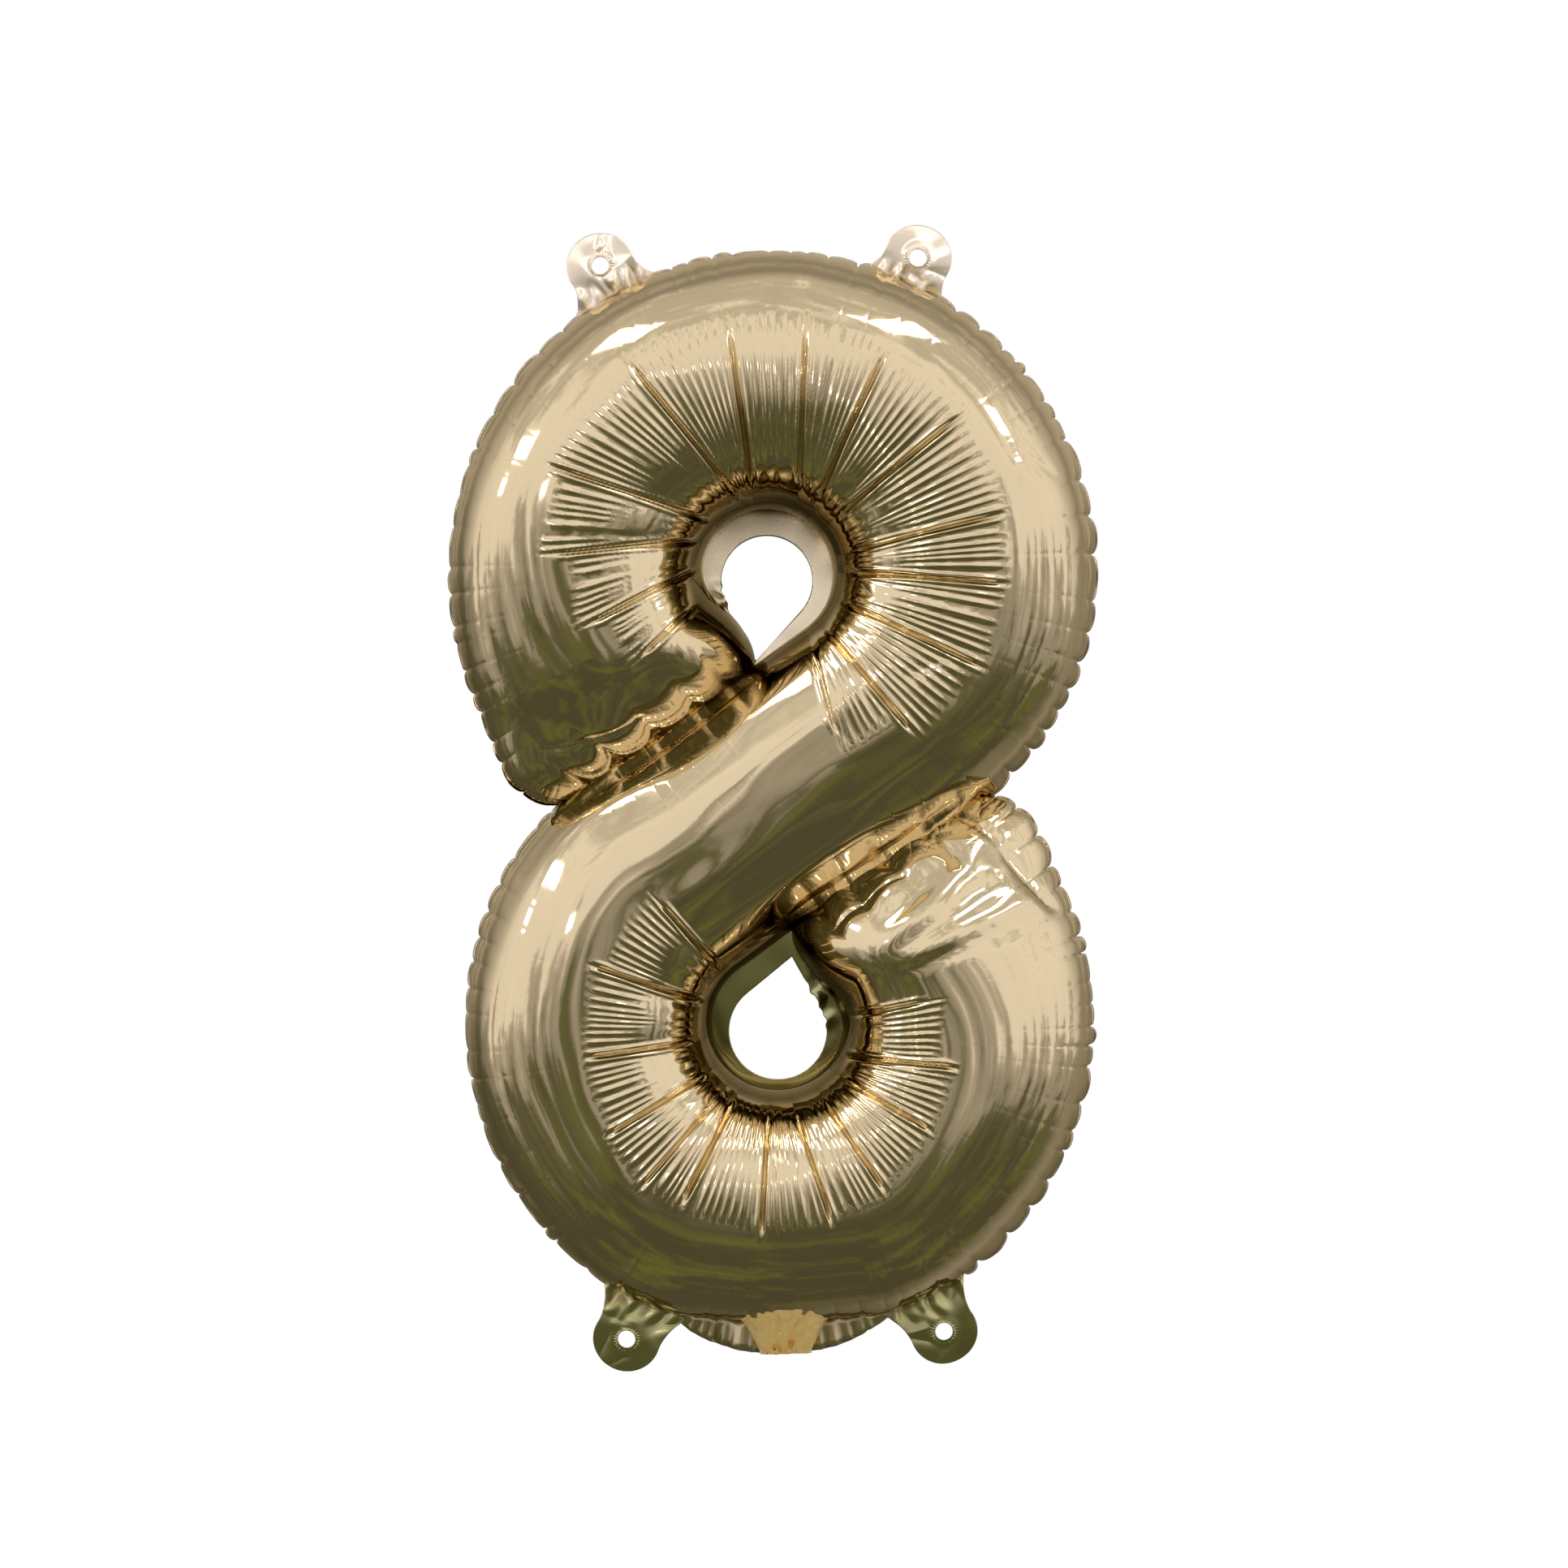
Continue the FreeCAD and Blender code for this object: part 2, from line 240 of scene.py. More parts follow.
def fold_field(folds, angle, radius, seed):
    """Height of the gathers round one hole, in metres, and how deep in a fold each point lies."""
    rng = np.random.default_rng(seed)
    table = np.array(folds, float)
    out_angle, out_radius, flatness = table[:, 0], table[:, 1] * MM, table[:, 4]
    far = polar(out_angle, out_radius)
    near = polar(table[:, 2], table[:, 3] * MM)
    run = far - near
    length = np.linalg.norm(run, axis=1)
    run /= length[:, None]
    lean = np.degrees(np.arctan2(run[:, 1], run[:, 0]))
    lean = out_angle + (lean - out_angle + 180) % 360 - 180
    miss = near[:, 0] * run[:, 1] - near[:, 1] * run[:, 0]
    r = radius.ravel()[:, None]
    lines = lean - np.degrees(np.arcsin(np.clip(miss / np.maximum(r, 20 * MM), -1, 1)))
    a = angle.ravel()[:, None]
    spot = polar(a, r)
    away = spot[..., 0] * run[:, 1] - spot[..., 1] * run[:, 0] - miss
    reach = ((spot - near) * run).sum(-1)
    facing = np.abs(a - lines) < 60

    order = np.clip((lines > a).sum(1) - 1, 0, len(folds) - 2)
    row = np.arange(len(order))
    high, low = lines[row, order], lines[row, order + 1]
    across = np.clip((a[:, 0] - low) / np.maximum(high - low, 1e-6), 0, 1).reshape(angle.shape)
    sector = order.reshape(angle.shape)
    span = np.radians(out_angle[sector] - out_angle[sector + 1])
    far_a, far_b = out_radius[sector], out_radius[sector + 1]
    edge = far_a * far_b * np.sin(span) / np.maximum(
        far_b * np.sin(span * (1 - across)) + far_a * np.sin(span * across), 1e-6)
    edge = edge * 0.6 + (far_b + (far_a - far_b) * across) * 0.4
    inside = (a[:, 0] < lines[:, 0]) & (a[:, 0] > lines[:, -1])
    inside = inside.reshape(angle.shape)

    depth = rng.uniform(0.8, 1.35, len(folds)) * MM
    width = rng.uniform(0.42, 0.62, len(folds)) * MM
    live = smooth(reach, -2 * MM, 3 * MM) * (1 - smooth(reach - length, -1.5 * MM, 1.2 * MM))
    live = live * facing
    groove = np.exp(-(np.abs(away) / width) ** 1.6) * live
    lip = np.exp(-((np.abs(away) - 1.35 * MM) / (0.62 * MM)) ** 2) * live
    folded = (lip * 0.4 * depth - groove * depth).sum(1).reshape(angle.shape)
    crease = groove.max(1).reshape(angle.shape)

    share = np.clip((radius - RING_RADIUS) / np.maximum(edge - RING_RADIUS, 1e-6), 0, 1.2)
    rise = np.sin(math.pi * np.clip(share, 0, 1)) ** 0.8
    size = rng.uniform(0.7, 1.4, len(folds))[sector] * MM
    pillow = size * 4 * across * (1 - across) * rise * inside

    count = np.maximum(np.rint(np.degrees(span) / PLEAT_PITCH), 2)
    shift = soft_noise(seed + 1, across * 1.5, sector * 0.37) * 0.5
    phase = 2 * math.pi * (count * across + shift * 4 * across * (1 - across))
    few = np.maximum(np.rint(np.degrees(span) / GATHER_PITCH), 1)
    wide_phase = 2 * math.pi * (few * across + 0.6 * shift)
    flat = (flatness[sector] + flatness[sector + 1]) / 2
    wander = soft_noise(seed + 3, across * count / 3.0, sector * 0.9)
    start = 0.22 + 0.52 * flat + 0.09 * wander
    outer_set = smooth(share, start - 0.10, start + 0.16)
    stop = edge + 0.7 * MM * soft_noise(seed + 4, across * count * 0.6, sector * 1.3)
    outer_set = outer_set * (1 - smooth(radius, stop - 1.5 * MM, stop + 0.7 * MM))
    uneven = 0.75 + 0.3 * soft_noise(seed + 5, across * count / 2.0, share * 2)
    ripple = -np.abs(np.cos(phase / 2)) ** 0.8 * 2 + 1.1
    ripple = ripple * PLEAT_HEIGHT * outer_set * uneven
    inner_set = smooth(radius, RING_RADIUS + 4.5 * MM, RING_RADIUS + 10 * MM)
    inner_set = inner_set * (1 - smooth(radius, RING_RADIUS + 9 * MM, RING_RADIUS + 17 * MM))
    gather = np.cos(wide_phase) * (1 + wander / 6) * GATHER_HEIGHT * inner_set
    return folded + pillow + (ripple + gather) * inside, crease * inside


def eased(values):
    """The values averaged over a few rows, with both ends held."""
    kernel = np.hanning(EASE_ROWS)
    kernel /= kernel.sum()
    margin = EASE_ROWS // 2
    before = 2 * values[0] - values[margin:0:-1]
    after = 2 * values[-1] - values[-2:-margin - 2:-1]
    return np.convolve(np.concatenate([before, values, after]), kernel, "valid")


def scallops(u, stand, from_weld, from_outer):
    """Scalloped outer edge: uneven bulges with sharp dips between them."""
    height = np.zeros_like(from_outer)
    edge_run = np.where(u <= 0.5, 1, -1) * np.radians(stand) * OUTLINE_RADIUS
    for mask, salt, calmest in ((u <= 0.5, 7, 5), (u > 0.5, 8, 170)):
        run = np.where(mask, edge_run, edge_run[mask][0])
        place, size = lumps(run, salt, *SCALLOP)
        rounded = np.sqrt(np.clip(1 - place ** 2, 0, 1))
        big = 0.6 + 0.4 * smooth(-np.abs(stand - calmest), -110, -30)
        bulge = (rounded - 0.62) * size ** 2.2 * big * SCALLOP_BULGE
        bulge = bulge * mask * smooth(from_weld, 0, 20 * MM)
        dip = np.exp(-(1 - np.abs(place)) / 0.10) * size ** 2 * big * SCALLOP_DIP * mask
        nick = np.exp(-((1 - np.abs(place)) / 0.22) ** 2) * mask * (size > 0.7) * 0.45 * MM
        spot = np.exp(-((from_outer - 5 * MM) / (1.3 * MM)) ** 2)
        height = height + bulge[:, None] * np.exp(-from_outer / (8 * MM))
        height = height - dip[:, None] * np.exp(-from_outer / (10 * MM))
        height = height - nick[:, None] * spot
    return height


def lobe_rolls(climbed, along, seed):
    """A rolled row of puffs along the weld where each lobe is closed, with fine ribs on them."""
    place, size = lumps(along, seed, 11 * MM, 18 * MM)
    climb = np.clip(climbed / (9 * MM), 0, 1)
    roll = np.sqrt(climb * (2 - climb)) * (1 - smooth(climbed, 12 * MM, 38 * MM))
    puff = (2.2 + 2.8 * np.sqrt(np.clip(1 - place ** 2, 0, 1)) * (0.6 + 0.4 * size)) * MM
    rib = np.cos(along / RIB_PITCH * 2 * math.pi + 2 * soft_noise(5, along / (20 * MM)))
    rib = rib * (1 - smooth(climbed, 9 * MM, 16 * MM)) * 0.09 * MM
    tuck = np.exp(-np.abs(climbed - 25 * MM) / (1.1 * MM)) * smooth(size, 0.7, 0.95) * 0.7 * MM
    pinch = np.exp(-(1 - np.abs(place)) / 0.07) * 0.8 * MM
    return roll * puff + rib - tuck - pinch * (1 - smooth(climbed, 14 * MM, 26 * MM))


def band_edge(u, edge_line, away, turn):
    """The band's own rolled edge beside one weld."""
    rel = turn * edge_line - np.array([0, LOOP_HEIGHT])
    along = -(rel @ BAND_DIR)
    off = rel @ BAND_NORMAL - RING_RADIUS
    here = smooth(along, 18 * MM, 30 * MM) * (1 - smooth(along, 76 * MM, 92 * MM))
    here = here * np.exp(-(off / (9 * MM)) ** 2) * (1 - smooth(np.abs(u - 0.5), 0.10, 0.16))
    place, size = lumps(along, 24 + turn, 20 * MM, 34 * MM)
    roll = np.sqrt(np.clip(1 - ((away - 9 * MM) / (8.0 * MM)) ** 2, 0, 1))
    puff = (2.0 + 0.5 * (1 - place ** 2) * size)[:, None] * MM
    rib = np.cos(along / RIB_PITCH * 2 * math.pi)[:, None] * 0.035 * MM
    tuck = np.exp(-np.abs(away - 18 * MM) / (1.1 * MM)) * 0.7 * MM
    return here[:, None] * (roll * (puff + rib) - tuck)


def front_tucks(plan):
    """The loose tucks of the front sheet."""
    height = np.zeros(plan.shape[:2])
    for x1, z1, x2, z2, deep, wide in TUCKS:
        run = np.array([x2 - x1, z2 - z1]) * MM
        long = np.linalg.norm(run)
        run /= long
        rel = plan - np.array([x1, z1]) * MM
        reach = (rel * run).sum(-1)
        off = rel[..., 0] * run[1] - rel[..., 1] * run[0]
        ends = smooth(reach, -3 * MM, 3 * MM) * (1 - smooth(reach, long - 3 * MM, long + 3 * MM))
        dent = np.exp(-(np.abs(off) / (wide * MM)) ** 1.3)
        lip = 0.7 * np.exp(-((off - 5 * MM) / (4 * MM)) ** 2)
        height = height + (lip - dent) * deep * MM * ends
    return height


def film_surface(count_u, count_v, side, seed):
    """Places of the film on one side of the seam, and how deep each point lies in folds."""
    u = np.linspace(0, 1, count_u + 1)
    v = np.linspace(0, 1, count_v + 1)
    left, right, depth, stand, from_weld = tube_plan(u)
    left = np.stack([eased(left[:, k]) for k in (0, 1)], -1)
    right = np.stack([eased(right[:, k]) for k in (0, 1)], -1)
    sweep = -np.cos(math.pi * v)
    half = np.linalg.norm(right - left, axis=1) / 2
    middle = (left + right) / 2
    unit = (right - left) / (2 * half)[:, None]
    plan = middle[:, None, :] + unit[:, None, :] * (half[:, None] * sweep[None, :])[..., None]
    lobe = 0.38 * (1 - smooth(from_weld, 25 * MM, 115 * MM)) * np.where(u <= 0.5, 1, -1)
    skewed = sweep[None, :] + lobe[:, None] * (1 - sweep ** 2)[None, :]
    crown = np.clip(1 - np.abs(skewed) ** SECTION_POWER, 0, 1) ** SECTION_ROUND
    high = depth[:, None] * crown
    base = np.stack([plan[..., 0], side * high, plan[..., 1]], -1)

    run_u = np.gradient(base, axis=0)
    run_v = np.gradient(base, axis=1)
    normal = np.cross(run_u, run_v)
    normal /= np.maximum(np.linalg.norm(normal, axis=-1, keepdims=True), 1e-12)
    normal *= np.sign((normal[..., 1] * side).sum()) or 1

    arc = np.linspace(0, 1, count_v + 1)[None, :] * (math.pi * (half + depth) / 2)[:, None]
    width = arc[:, -1:]
    top = (u <= 0.5)[:, None] & np.ones_like(high, bool)
    turned = np.where(top[..., None], plan, -plan) - np.array([0, LOOP_HEIGHT])
    radius = np.hypot(turned[..., 0], turned[..., 1])
    angle = np.degrees(np.arctan2(turned[..., 1], turned[..., 0]))
    angle = np.where(angle < -100 + 60 * (from_weld < 0.12)[:, None], angle + 360, angle)
    from_outer = np.where(top, width - arc, arc)
    from_inner = np.where(top, arc, width - arc)

    upper_height, upper_crease = fold_field(UPPER_FOLDS, angle, radius, seed)
    lower_height, lower_crease = fold_field(LOWER_FOLDS, angle, radius, seed + 50)
    height = np.where(top, upper_height, lower_height)
    crease = np.where(top, upper_crease, lower_crease)
    loop_share = 1 - smooth(from_inner, 62 * MM, 80 * MM)
    height = height * loop_share
    soft = np.cos(np.radians((angle - 228) * 360 / RIDGE_PITCH)) * RIDGE_HEIGHT
    soft = soft * smooth(angle, 196, 206) * (1 - smooth(angle, 240, 252))
    soft = soft * smooth(radius, 38 * MM, 52 * MM) * (1 - smooth(radius, 74 * MM, 90 * MM))
    height = height + np.where(top, 0, soft)
    if side < 0:
        height = height + front_tucks(plan)
    height = height + scallops(u, stand, from_weld, from_outer)
    steps = np.linalg.norm(np.diff(base, axis=0), axis=2)
    climbed = np.concatenate([np.zeros((1, count_v + 1)), np.cumsum(steps, axis=0)])
    climbed = np.minimum(climbed, climbed[-1:] - climbed)
    height = height + lobe_rolls(climbed, sweep * 36 * MM + 0 * high, 21 + side)
    # Beside the welds the film gets the painted warm reflection and painted shade of a deep fold.
    crease = np.maximum(crease, 0.85 * (1 - smooth(climbed, 9 * MM, 24 * MM)))
    height = height + band_edge(u, left, arc, 1) + band_edge(u, right, width - arc, -1)

    # Soft ridges along the band, and slow unevenness everywhere.
    band = 1 - smooth(np.abs(u - 0.5), 0.05, 0.13)
    streak = soft_noise(seed + 11, arc / (15 * MM), u[:, None] * 11)
    height = height + band[:, None] * 0.42 * MM * streak * smooth(from_inner, 8 * MM, 20 * MM)
    slow = soft_noise(seed + 12, base[..., 0] / 0.075, base[..., 2] / 0.075)
    mild = soft_noise(seed + 13, base[..., 0] / 0.028, base[..., 2] / 0.028)
    calm = smooth(from_outer, 2 * MM, 14 * MM) * smooth(from_inner, 2 * MM, 10 * MM)
    height = height + (slow * 0.55 * MM + mild * 0.05 * MM) * calm

    place_out = base + normal * height[..., None]

    # The outer edge sways to the front and back, and both sheets share it.
    seam = np.exp(-np.minimum(arc, width - arc) / (3.5 * MM))
    sway = soft_noise(31, u * 75) * 0.9 * MM + soft_noise(32, u * 24) * 0.8 * MM
    edge = np.minimum(arc, width - arc) < 1e-7
    sway = sway[:, None] * (from_outer < from_inner)
    place_out[..., 1] = np.where(edge, 0, place_out[..., 1]) + seam * sway
    return place_out, crease, from_inner


def grid_mesh(name, places, painted_glow_shade=None, wrap=False):
    """A mesh from an even grid whose points are moved to the given places.

    The optional numbers, one per point, are painted light for the materials to read: a painted warm glow, and
    painted shade where they are highest."""
    count_u, count_v = places.shape[0] - 1, places.shape[1] - 1
    bm = bmesh.new()
    bmesh.ops.create_grid(bm, x_segments=count_u, y_segments=count_v, size=0.5)
    mesh = bpy.data.meshes.new(name)
    bm.to_mesh(mesh)
    bm.free()
    grid = np.zeros(len(mesh.vertices) * 3)
    mesh.vertices.foreach_get("co", grid)
    grid = grid.reshape(-1, 3)
    i = np.rint((grid[:, 0] + 0.5) * count_u).astype(int)
    j = np.rint((grid[:, 1] + 0.5) * count_v).astype(int)
    mesh.vertices.foreach_set("co", places[i, j].astype(np.float32).ravel())
    if wrap:
        bm = bmesh.new()
        bm.from_mesh(mesh)
        bmesh.ops.remove_doubles(bm, verts=bm.verts, dist=1e-7)
        bm.to_mesh(mesh)
        bm.free()
    if painted_glow_shade is not None:
        layer = mesh.attributes.new("painted_glow_shade", "FLOAT", "POINT")
        layer.data.foreach_set("value", painted_glow_shade[i, j].astype(np.float32))
    mesh.update()
    for polygon in mesh.polygons:
        polygon.use_smooth = True
    obj = bpy.data.objects.new(name, mesh)
    bpy.context.scene.collection.objects.link(obj)
    return obj


def film_thickness(obj, thickness, offset):
    """Gives a sheet its thickness: inwards at an offset of -1, and both ways at 0."""
    wall = obj.modifiers.new("film", "SOLIDIFY")
    wall.thickness = thickness
    wall.offset = offset
    wall.use_rim = True


def face_outwards(obj, outward):
    """Turns a sheet's faces over if most of them look away from the given direction."""
    total = sum((p.normal.dot(outward) * p.area for p in obj.data.polygons), 0.0)
    if total < 0:
        obj.data.flip_normals()


# ---- Materials ----

class Tree:
    """Short words for a node tree."""

    def __init__(self, owner):
        owner.use_nodes = True
        self.tree = owner.node_tree
        self.tree.nodes.clear()

    def add(self, kind, **values):
        node = self.tree.nodes.new(kind)
        for key, value in values.items():
            if hasattr(node, key):
                setattr(node, key, value)
            else:
                node.inputs[key.replace("_", " ")].default_value = value
        return node

    def join(self, source, target):
        self.tree.links.new(source, target)

    def maths(self, operation, a, b=None, clamp=False):
        node = self.tree.nodes.new("ShaderNodeMath")
        node.operation = operation
        node.use_clamp = clamp
        for slot, value in enumerate((a, b)):
            if value is None:
                continue
            if isinstance(value, (int, float)):
                node.inputs[slot].default_value = value
            else:
                self.join(value, node.inputs[slot])
        return node.outputs[0]

    def over(self, value, start, gain, clamp=False):
        """How far a value is past the start, times the gain."""
        return self.maths("MULTIPLY", self.maths("SUBTRACT", value, start), gain, clamp)

    def noise(self, spot, scale, detail, roughness=0.5):
        node = self.add("ShaderNodeTexNoise", Scale=scale, Detail=detail, Roughness=roughness)
        self.join(spot, node.inputs["Vector"])
        return node.outputs["Fac"]

    def parts(self, spot):
        node = self.add("ShaderNodeSeparateXYZ")
        self.join(spot, node.inputs[0])
        return [node.outputs[axis] for axis in "XYZ"]

    def blend_colour(self, factor, first, second):
        node = self.tree.nodes.new("ShaderNodeMix")
        node.data_type = "RGBA"
        sockets = (node.inputs[0], node.inputs[6], node.inputs[7])
        for socket, value in zip(sockets, (factor, first, second)):
            if isinstance(value, (int, float)):
                socket.default_value = value
            elif isinstance(value, tuple):
                socket.default_value = (*value, 1.0)
            else:
                self.join(value, socket)
        return node.outputs[2]


def foil_material(name, colour, painted_fold_colour, gloss, knurl=0.0, crumple=0.0, metallic=1.0):
    """Metallised film: mirror-like metal with a faint grain, with painted warm reflections in its folds and
    painted dark shade in the deepest of them.

    knurl adds the hatched press mark of a heat seal, and crumple fine creases."""
    material = bpy.data.materials.new(name)
    t = Tree(material)
    out = t.add("ShaderNodeOutputMaterial")
    metal = t.add("ShaderNodeBsdfPrincipled", Metallic=metallic)
    t.join(metal.outputs[0], out.inputs["Surface"])
    spot = t.add("ShaderNodeTexCoord").outputs["Object"]

    cloud = t.noise(spot, 28.0, 3.0, 0.55)
    grain = t.noise(spot, 1500.0, 2.0)
    # The mesh's painted light share blends the colour towards the painted warm fold colour, and past 0.62 towards
    # a dark painted shade.
    painted_glow_shade = t.add("ShaderNodeAttribute", attribute_name="painted_glow_shade")
    painted_warmth = t.maths("MULTIPLY", painted_glow_shade.outputs["Fac"], 1.6, clamp=True)
    deep = t.over(painted_glow_shade.outputs["Fac"], 0.62, 2.4, clamp=True)
    pale = t.blend_colour(t.maths("MULTIPLY", cloud, 0.6), colour,
                          tuple(c * k for c, k in zip(colour, (0.95, 0.93, 0.88))))
    painted_gold = t.blend_colour(painted_warmth, pale, painted_fold_colour)
    # Dark painted shade, a dimmed copy of the painted fold colour.
    shade = tuple(c * k for c, k in zip(painted_fold_colour, (0.19, 0.175, 0.15)))
    t.join(t.blend_colour(deep, painted_gold, shade), metal.inputs["Base Color"])
    metal.inputs["Specular Tint"].default_value = (0.66, 0.61, 0.50, 1.0)

    rough = t.maths("ADD", t.maths("MULTIPLY", cloud, 0.06), gloss)
    rough = t.maths("ADD", rough, t.maths("MULTIPLY", grain, 0.02))
    t.join(rough, metal.inputs["Roughness"])

    height = t.maths("MULTIPLY", t.noise(spot, 260.0, 2.0), 0.05)
    if knurl:
        x, _, z = t.parts(spot)
        rise = t.maths("ADD", x, z)
        fall = t.maths("SUBTRACT", x, z)
        ridges = [t.maths("SINE", t.maths("MULTIPLY", way, 8200.0)) for way in (rise, fall)]
        press = t.maths("MULTIPLY", t.maths("MAXIMUM", *ridges), knurl)
        height = t.maths("ADD", height, press)
    if crumple:
        cells = t.add("ShaderNodeTexVoronoi", feature="DISTANCE_TO_EDGE", Scale=230.0)
        t.join(spot, cells.inputs["Vector"])
        creased = t.maths("MINIMUM", t.maths("MULTIPLY", cells.outputs["Distance"], 3.0), 1.0)
        height = t.maths("ADD", height, t.maths("MULTIPLY", creased, crumple))
    bump = t.add("ShaderNodeBump", Strength=0.35, Distance=0.0004)
    t.join(height, bump.inputs["Height"])
    t.join(bump.outputs[0], metal.inputs["Normal"])
    return material


def valve_material(colour):
    """Pale, faintly milky plastic film of the valve."""
    material = bpy.data.materials.new("valve_film")
    t = Tree(material)
    out = t.add("ShaderNodeOutputMaterial")
    film = t.add("ShaderNodeBsdfPrincipled", Roughness=0.18, IOR=1.5)
    t.join(film.outputs[0], out.inputs["Surface"])
    spot = t.add("ShaderNodeTexCoord").outputs["Object"]
    dull = tuple(c * 0.9 for c in colour)
    t.join(t.blend_colour(t.noise(spot, 300.0, 2.0), colour, dull), film.inputs["Base Color"])
    return material


# ---- What a user can change ----

class FoilSettings(bpy.types.PropertyGroup):
    """Finish of the metallised film."""

    colour: bpy.props.FloatVectorProperty(
        name="Foil colour", description="Colour of the metallised film", subtype="COLOR",
        size=3, min=0.0, max=1.0, default=(0.80, 0.68, 0.47))
    # The painted colour of warm reflections deep in the gathers; a dimmed copy of it is painted as shade.
    painted_fold_colour: bpy.props.FloatVectorProperty(
        name="Fold colour", description="Warm colour deep in the gathers", subtype="COLOR",
        size=3, min=0.0, max=1.0, default=(0.74, 0.59, 0.34))
    gloss: bpy.props.FloatProperty(
        name="Haze", description="Roughness of the film where it is smoothest", min=0.0,
        max=1.0, default=0.02)
    thickness: bpy.props.FloatProperty(
        name="Film thickness", description="Thickness shown for one ply of film",
        default=0.12 * MM, unit="LENGTH")


class SkinSettings(bpy.types.PropertyGroup):
    """How finely the inflated film is divided, and the colour of the valve inside it."""

    along: bpy.props.IntProperty(
        name="Divisions along", description="Divisions along the tube", min=200, default=2200)
    around: bpy.props.IntProperty(
        name="Divisions around", description="Divisions across half the tube", min=20,
        default=72)
    valve_colour: bpy.props.FloatVectorProperty(
        name="Valve colour", description="Colour of the valve's plastic film",
        subtype="COLOR", size=3, min=0.0, max=1.0, default=(0.82, 0.83, 0.80))


class StageSettings(bpy.types.PropertyGroup):
    """Studio, lights and camera."""

    distance: bpy.props.FloatProperty(
        name="Camera distance", description="From the lens to the balloon's middle",
        default=1.7, unit="LENGTH")
    view_width: bpy.props.FloatProperty(
        name="View width", description="Width seen by the camera at the balloon",
        default=0.483, unit="LENGTH")
    roll: bpy.props.FloatProperty(
        name="Camera roll", description="Turn of the camera about its line of sight",
        subtype="ANGLE", default=math.radians(1.4))
    floor_drop: bpy.props.FloatProperty(
        name="Floor drop", description="From the balloon's lowest point to the floor",
        default=0.42, unit="LENGTH")


# ---- Pieces ----

def foil_of(context):
    """Colour, painted fold colour, haze and thickness of the film."""
    settings = context.scene.balloon_foil
    return tuple(settings.colour), tuple(settings.painted_fold_colour), settings.gloss, settings.thickness


class BALLOON_OT_skin(bpy.types.Operator):
    """Builds the two inflated film sheets."""

    bl_idname = "balloon.skin"
    bl_label = "Inflated film sheets"

    def execute(self, context):
        colour, painted_fold_colour, gloss, thickness = foil_of(context)
        size = context.scene.balloon_skin
        material = foil_material("gold_foil", colour, painted_fold_colour, gloss)
        for name, side, seed in (("front_film", -1, 100), ("back_film", 1, 200)):
            places, crease, near = film_surface(size.along, size.around, side, seed)

            # Painted light: a painted warm reflection round the hole and, at half strength, along the creases, and
            # painted shade on the film's wall next to the hole seal.
            wall = (1 - smooth(near, 14 * MM, 21 * MM)) * smooth(near, 1.2 * MM, 4 * MM)
            painted_ring_glow = 0.62 * (1 - smooth(near, 16 * MM, 33 * MM)) + 0.38 * wall
            painted_light_share = np.clip(np.maximum(crease * 0.5, painted_ring_glow), 0, 1)
            obj = grid_mesh(name, places, painted_light_share)
            face_outwards(obj, Vector((0, side, 0)))
            obj.data.materials.append(material)
            film_thickness(obj, thickness, -1.0)
            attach(obj, BALLOON)
            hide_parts("front_panel" if side < 0 else "back_panel")
        return {"FINISHED"}


